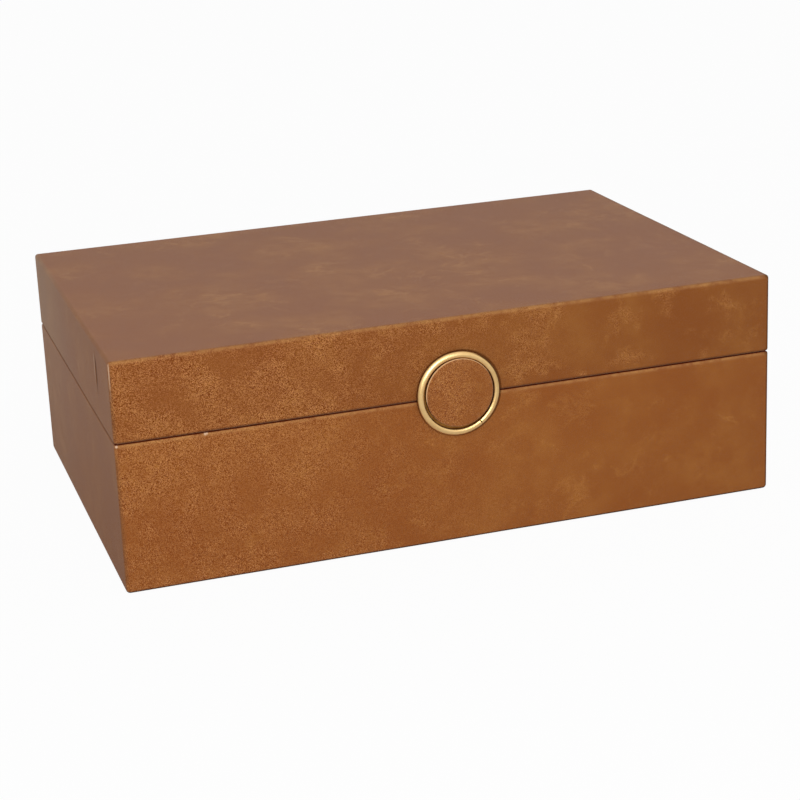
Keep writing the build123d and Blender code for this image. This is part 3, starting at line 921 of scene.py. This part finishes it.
def softSheet(name, node, body, slotName, front, given):
    low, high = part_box(node)
    middle, size = (low + high) / 2, high - low
    axis = max(range(3), key=lambda i: abs(front[i]))
    first, second = [i for i in range(3) if i != axis]
    halfU, halfV, thick = size[first] / 2, size[second] / 2, size[axis]
    corner, edge = given["cornerRadius"], given["edgeRadius"]
    columnsU = spread(corner - halfU, halfU - corner, given["sheetStep"])
    columnsV = spread(corner - halfV, halfV - corner, given["sheetStep"])
    rows = [(corner, 0.0), (0.0, 0.0), (0.0, (thick - edge) / 2)]
    rows += arc((edge, thick - edge), edge, 180, 90, given["edgeSteps"])
    if corner > edge:
        rows += [(inset, thick) for inset in spread(edge, corner, given["cornerStep"])[1:]]

    def put(u, v, out):
        depth = 0
        if out > thick - sameLevel:
            nearEdge = min(halfU - abs(u), halfV - abs(v))
            wave = 0.5 + 0.5 * noise.noise(Vector((u, v, halfU)) / given["wobbleSize"])
            depth = given["wobble"] * wave * fraction((nearEdge - edge) / given["wobbleFade"])
            if "dip" in given:
                share = fraction((nearEdge - given["underlap"]) / given["dipFade"])
                depth += given["dip"] * share * share * (3 - 2 * share)
        point = [0, 0, 0]
        point[first], point[second] = middle[first] + u, middle[second] + v
        point[axis] = middle[axis] + front[axis] * (out - depth - thick / 2)
        return point

    shape = bmesh.new()
    plan = dict(given, edgeRadius=corner)
    loops = []
    for inset, out in rows:  # a rounded edge may be wider than the plan's corner
        points, _ = loopAt(plan, halfU, halfV, min(inset, corner), columnsU, columnsV)
        points = [(clamped(u, halfU - inset), clamped(v, halfV - inset)) for u, v in points]
        loops.append([shape.verts.new(put(u, v, out)) for u, v in points])
    joinLoops(shape, loops)
    for out, inset in ((0.0, corner), (thick, max(corner, edge))):
        across = [clamped(u, halfU - inset) for u in columnsU]
        along = [clamped(v, halfV - inset) for v in columnsV]
        addGrid(shape, across, along, lambda u, v: put(u, v, out))
    bmesh.ops.dissolve_degenerate(shape, dist=mergeDistance, edges=shape.edges)
    unify(shape)
    newPiece(name, toMesh(shape, name), finishes[slotName], body, slotName, node)


facings = {
    "Floor": (0, 0, 1),
    "Ceiling": (0, 0, -1),
    "Front": (0, 1, 0),
    "Back": (0, -1, 0),
    "Left": (1, 0, 0),
    "Right": (-1, 0, 0),
}
for body, closing in (("base", "Floor"), ("lid", "Ceiling")):
    for side in (closing, "Front", "Back", "Left", "Right"):
        node = f"{body}_{side.lower()}_lining"
        softSheet(f"{body}{side}Lining", node, body, "lining_flock", facings[side], liningShape)
softSheet("undersideFelt", "base_underside_felt", "base", "underside_felt", (0, 0, -1), feltShape)
print("linings and felt made")


# The pull: a half-round brass ring, and the covered disc inside it

ringShape = {
    "width": 0.0031,
    "steps": 28,
    "fullness": 0.8,
    "lean": 0.00028,  # how far the crown stands inside the wire's middle
    "segments": 240,
    "joint": -55.6,  # degrees round from the right, where the wire's ends were brazed
    "jointHalfWidth": 0.9,
    "jointRows": 3,  # in each half width, over two of them on each side
    "jointClear": 2.1,
    "jointSharpness": 3,
    "jointDepth": 0.00022,
    "bend": 0.00005,
    "bends": 3,
    "bendTurn": 1,
    "nickReach": 0.0172,
    "nickOut": 0.0004,
}
discShape = {
    "thickness": 0.0006,
    "edgeRadius": 0.0009,
    "edgeSteps": 8,
    "faceStep": 0.0008,
    "sideStep": 0.0004,
    "crown": 0.00018,
    "segments": 144,
    "pucker": 0.00005,
    "puckers": 34,
    "puckerDrift": (2, 3),  # how unevenly they are spaced, and how often that changes
}
mapStep = 0.0003  # across the brushing's map, for each point of a profile


def turned(name, profile, centre, angles, shift, closed=False):
    # profile points are (radius, distance out from the lid's face); angles are in radians
    shape = bmesh.new()
    mapLayer = shape.loops.layers.uv.new("brushing")
    rows = []
    for angle in angles:
        rows.append([])
        for radius, out in profile:
            wider, further = shift(radius, out, angle)
            reach = radius + wider
            spot = (centre.x + reach * cos(angle), centre.y - out - further, centre.z + reach * sin(angle))
            rows[-1].append(shape.verts.new(spot))
    count = len(profile) if closed else len(profile) - 1
    for turn in range(len(rows)):
        first, second = rows[turn], rows[(turn + 1) % len(rows)]
        here, there = angles[turn], angles[(turn + 1) % len(rows)]
        there += 2 * pi if there < here else 0
        for i in range(count):
            j = (i + 1) % len(profile)
            face = shape.faces.new((first[i], first[j], second[j], second[i]))
            spots = [(here, i), (here, i + 1), (there, i + 1), (there, i)]
            for loop, (angle, order) in zip(face.loops, spots):
                loop[mapLayer].uv = (angle * profile[0][0], order * mapStep)
    unify(shape)
    return toMesh(shape, name)


def pullPlace(node):  # its centre on the lid's face, its radius and its height
    low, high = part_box(node)
    centre = Vector(((low.x + high.x) / 2, high.y, (low.z + high.z) / 2))
    return centre, (high.x - low.x) / 2, high.y - low.y


def makeRing(given, material):
    centre, outer, height = pullPlace("pull_ring")
    half = given["width"] / 2
    middle = outer - half
    profile = [(middle - half, 0), (middle, 0)]
    for step in range(given["steps"] + 1):  # a flat back and a half-round front
        turn = pi * step / given["steps"]
        radius = middle + half * cos(turn) - given["lean"] * sin(turn)
        profile.append((radius, height * abs(sin(turn)) ** given["fullness"]))
    joint, jointHalf = radians(given["joint"]) % (2 * pi), radians(given["jointHalfWidth"])
    rows = given["jointRows"]
    angles = [2 * pi * i / given["segments"] for i in range(given["segments"])]
    angles = [angle for angle in angles if abs(angle - joint) > radians(given["jointClear"])]
    angles = sorted(angles + [joint + jointHalf * k / rows for k in range(-2 * rows, 2 * rows + 1)])

    def shift(radius, out, angle):
        away = abs((angle - joint + pi) % (2 * pi) - pi) / jointHalf
        dent = given["jointDepth"] * exp(-away * away * given["jointSharpness"])
        wave = given["bend"] * sin(given["bends"] * angle + given["bendTurn"])
        return wave - dent * (radius - middle) / half, -dent * max(0, out - height + half) / half

    mesh = turned("pullRing", profile, centre, angles, shift, closed=True)
    newPiece("pullRing", mesh, material, "lid", "brass", "pull_ring")


def makeDisc(given):
    centre, outer, height = pullPlace("pull_disc_cover")
    radius = given["edgeRadius"]
    flat = outer - radius
    places = spread(0.0, flat, given["faceStep"])
    profile = [(place, height + given["crown"] * (1 - (place / flat) ** 2)) for place in places]
    profile += arc((flat, height - radius), radius, 90, 0, given["edgeSteps"])[1:]
    profile += [(outer, out) for out in spread(height - radius, 0.0, given["sideStep"])[1:]]
    angles = [2 * pi * i / given["segments"] for i in range(given["segments"])]
    drift, drifts = given["puckerDrift"]

    def shift(reach, out, angle):
        share = max(0, 1 - out / (height - radius))
        return given["pucker"] * share * sin(given["puckers"] * angle + drift * sin(drifts * angle)), 0

    mesh = turned("pullDiscDraft", profile, centre, angles, shift)
    piece = thickDraft("pullDisc", mesh, given["thickness"])
    name = "pullDiscCovering"
    newPiece(name, baked(piece, name), discCloth, "lid", "leathercloth", "pull_disc_cover")


nickTurn, nickReach = radians(ringShape["joint"]), ringShape["nickReach"]
ringBrass = brass("ringBrass", ringLook, {
    "centre": ringCentre,
    "back": ringHigh.y,
    "inner": ringRadius - ringShape["width"],
    "outer": ringRadius,
    "nick": (ringCentre.x + nickReach * cos(nickTurn), ringLow.y + ringShape["nickOut"],
             ringCentre.z + nickReach * sin(nickTurn)),
})
makeRing(ringShape, ringBrass)
makeDisc(discShape)
print("pull made")


# Hinge leaves and pins: the CAD shapes with their edges eased

hingeShape = {
    "leafEase": 0.00012,
    "pinEase": 0.0002,
    "easeSteps": 2,
    "easeAngle": 32,
    "flatAngle": 1,
    "mergeDistance": 2e-6,
}


def easedCopy(name, node, body, width, given):
    shape = bmesh.new()
    shape.from_mesh(frame["nodes"][node].data)
    bmesh.ops.remove_doubles(shape, verts=shape.verts, dist=given["mergeDistance"])
    flat = radians(given["flatAngle"])
    bmesh.ops.dissolve_limit(shape, angle_limit=flat, verts=shape.verts, edges=shape.edges)
    piece = linked(name + "Draft", toMesh(shape, name + "Draft"))
    ease = piece.modifiers.new("ease", "BEVEL")
    ease.width, ease.segments = width, given["easeSteps"]
    ease.limit_method, ease.angle_limit = "ANGLE", radians(given["easeAngle"])
    newPiece(name, baked(piece, name), finishes["brass"], body, "brass", node)


for side in ("left", "right"):
    easedCopy(f"{side}HingeBaseLeaf", f"hinge_{side}_base_leaf", "base", hingeShape["leafEase"], hingeShape)
    easedCopy(f"{side}HingeLidLeaf", f"hinge_{side}_lid_leaf", "lid", hingeShape["leafEase"], hingeShape)
    easedCopy(f"{side}HingePin", f"hinge_{side}_pin", "base", hingeShape["pinEase"], hingeShape)
print("hinges made")


# Wood screws in the hinge leaves, one Geometry Nodes tree

screwSizes = {
    "headRadius": 0.0021,
    "headDepth": 0.0012,
    "shankRadius": 0.00085,
    "threadRadius": 0.0011,
    "length": 0.012,
    "tip": 0.0025,
    "threadTurns": 8.0,
    "threadShare": 0.8,  # of the shank's length
    "recessSpan": 0.0023,
    "recessWidth": 0.0005,
    "recessDepth": 0.0007,
}
screwDetail = {
    "headSides": 40,
    "shankSides": 24,
    "threadSides": 4,
    "turnSteps": 20,
    "seed": 4,
    "alongLeaf": (0, 0.5, 1),
}


def screwTree(sizes, detail, material):
    tree = bpy.data.node_groups.new("woodScrews", "GeometryNodeTree")
    tree.interface.new_socket("Places", in_out="INPUT", socket_type="NodeSocketGeometry")
    tree.interface.new_socket("Screws", in_out="OUTPUT", socket_type="NodeSocketGeometry")
    for key, value in sizes.items():
        tree.interface.new_socket(key, in_out="INPUT", socket_type="NodeSocketFloat").default_value = value
    entry = tree.nodes.new("NodeGroupInput")
    given = {key: Wire(tree, entry.outputs[key]) for key in sizes}
    start = Wire(tree)

    def vector(x=0.0, y=0.0, z=0.0):
        return start.add("ShaderNodeCombineXYZ", {0: x, 1: y, 2: z})

    def lowered(geometry, depth):
        offset = vector(z=depth * -1)
        return start.add("GeometryNodeTransform", {"Geometry": geometry, "Translation": offset})

    def cone(sides, top, bottom, depth):
        return start.add("GeometryNodeMeshCone", {
            "Vertices": sides, "Radius Top": top, "Radius Bottom": bottom, "Depth": depth})

    radius, headDepth = given["shankRadius"], given["headDepth"]
    head = lowered(cone(detail["headSides"], given["headRadius"], radius, headDepth), headDepth)
    span, width, recess = given["recessSpan"], given["recessWidth"], given["recessDepth"] * 2
    bars = [start.add("GeometryNodeMeshCube", {"Size": size})
            for size in (vector(span, width, recess), vector(width, span, recess))]
    head = start.add("GeometryNodeMeshBoolean", {"Mesh 1": head, "Mesh 2": bars}, operation="DIFFERENCE",
                     solver="EXACT")
    length = given["length"] - given["tip"] - headDepth
    shank = start.add("GeometryNodeMeshCylinder", {
        "Vertices": detail["shankSides"], "Radius": radius, "Depth": length})
    shank = lowered(shank, headDepth + length * 0.5)
    tip = lowered(cone(detail["shankSides"], radius, 0.0, given["tip"]), given["length"])
    turns = start.add("GeometryNodeCurveSpiral", {
        "Resolution": detail["turnSteps"], "Rotations": given["threadTurns"], "Start Radius": radius,
        "End Radius": radius, "Height": length * given["threadShare"]})
    section = start.add("GeometryNodeCurvePrimitiveCircle", {
        "Resolution": detail["threadSides"], "Radius": given["threadRadius"] - radius})
    thread = start.add("GeometryNodeCurveToMesh", {
        "Curve": turns, "Profile Curve": section, "Fill Caps": True})
    thread = lowered(thread, headDepth + length)
    screw = start.add("GeometryNodeJoinGeometry", {"Geometry": [head, shank, tip, thread]})
    spin = start.add("FunctionNodeRandomValue", {"Min": 0.0, "Max": pi, "Seed": detail["seed"]}, 1)
    flip = start.add("GeometryNodeInputNamedAttribute", {"Name": "flip"})
    screws = start.add("GeometryNodeInstanceOnPoints", {
        "Points": Wire(tree, entry.outputs["Places"]), "Instance": screw,
        "Rotation": vector(x=flip, z=spin)})
    solid = start.add("GeometryNodeRealizeInstances", {"Geometry": screws})
    finished = start.add("GeometryNodeSetMaterial", {"Geometry": solid, "Material": material})
    start.add("NodeGroupOutput", {"Screws": finished})
    return tree


def makeScrews(name, body, sizes, detail, tree):
    nodes = [f"hinge_{side}_{body}_screws" for side in ("left", "right")]
    up = body == "base"
    spots = []
    for low, high in map(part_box, nodes):
        first, last = low.x + sizes["headRadius"], high.x - sizes["headRadius"]
        for share in detail["alongLeaf"]:
            spots.append((first + (last - first) * share, (low.y + high.y) / 2, high.z if up else low.z))
    places = bpy.data.meshes.new(name + "Places")
    places.from_pydata(spots, [], [])
    flips = [0.0 if up else pi] * len(spots)
    places.attributes.new("flip", "FLOAT", "POINT").data.foreach_set("value", flips)
    piece = linked(name + "Draft", places)
    made = piece.modifiers.new("screws", "NODES")
    made.node_group = tree
    for item in tree.interface.items_tree:
        if item.in_out == "INPUT" and item.name in sizes:
            made[item.identifier] = sizes[item.name]
    newPiece(name, baked(piece, name), finishes["brass"], body, "brass", *nodes)


woodScrews = screwTree(screwSizes, screwDetail, finishes["brass"])
for body in ("base", "lid"):
    makeScrews(f"{body}HingeScrews", body, screwSizes, screwDetail, woodScrews)
print("screws made")


# Stage: a white floor and surround, and one soft lamp in front

stageLook = {
    "surround": 0.45,  # how brightly it lights the box
    "floorSize": 12,
    "floorColour": 0.8,
    "floorShown": 0.96,  # how much of the floor is plain white to the camera
    "floorMirrored": 0.25,  # and where the box mirrors it
    "lampPlace": (-0.3, -1.22, 0.55),
    "lampAim": (0, 0, 0.05),
    "lampSize": 0.8,
    "lampPower": 9.8,
}


def seenBy(start, camera=1.0, mirrored=1.0):  # one share seen directly, one in or through the object
    rays = start.add("ShaderNodeLightPath").socket.node.outputs
    straight, glossy, through = (Wire(start.tree, rays[f"Is {kind} Ray"])
                                 for kind in ("Camera", "Glossy", "Transmission"))
    return straight * camera + (glossy + through).least(1.0) * mirrored


def makeStage(look):
    scene = bpy.context.scene
    scene.view_settings.view_transform = "Standard"
    scene.world = bpy.data.worlds.new("surround")
    start = emptied(scene.world)
    strength = look["surround"] + seenBy(start) * (1 - look["surround"])
    sky = start.add("ShaderNodeBackground", {"Color": grey(1), "Strength": strength})
    start.add("ShaderNodeOutputWorld", {"Surface": sky})

    material = bpy.data.materials.new("floorWhite")
    start = emptied(material)
    matt = start.add("ShaderNodeBsdfDiffuse", {"Color": grey(look["floorColour"])})
    plain = start.add("ShaderNodeEmission", {"Color": grey(1), "Strength": 1.0})
    shown = seenBy(start, look["floorShown"], look["floorMirrored"])
    both = start.add("ShaderNodeMixShader", {0: shown, 1: matt, 2: plain})
    start.add("ShaderNodeOutputMaterial", {"Surface": both})

    shape = bmesh.new()
    bmesh.ops.create_grid(shape, x_segments=1, y_segments=1, size=look["floorSize"])
    mesh = toMesh(shape, "floor")
    mesh.materials.append(material)
    linked("floor", mesh)

    data = bpy.data.lights.new("frontSoftbox", "AREA")
    data.shape, data.size, data.energy = "DISK", look["lampSize"], look["lampPower"]
    lamp = linked("frontSoftbox", data)
    lamp.location = look["lampPlace"]
    lamp.rotation_euler = (Vector(look["lampAim"]) - lamp.location).to_track_quat("-Z", "Y").to_euler()


makeStage(stageLook)
print("stage lit")
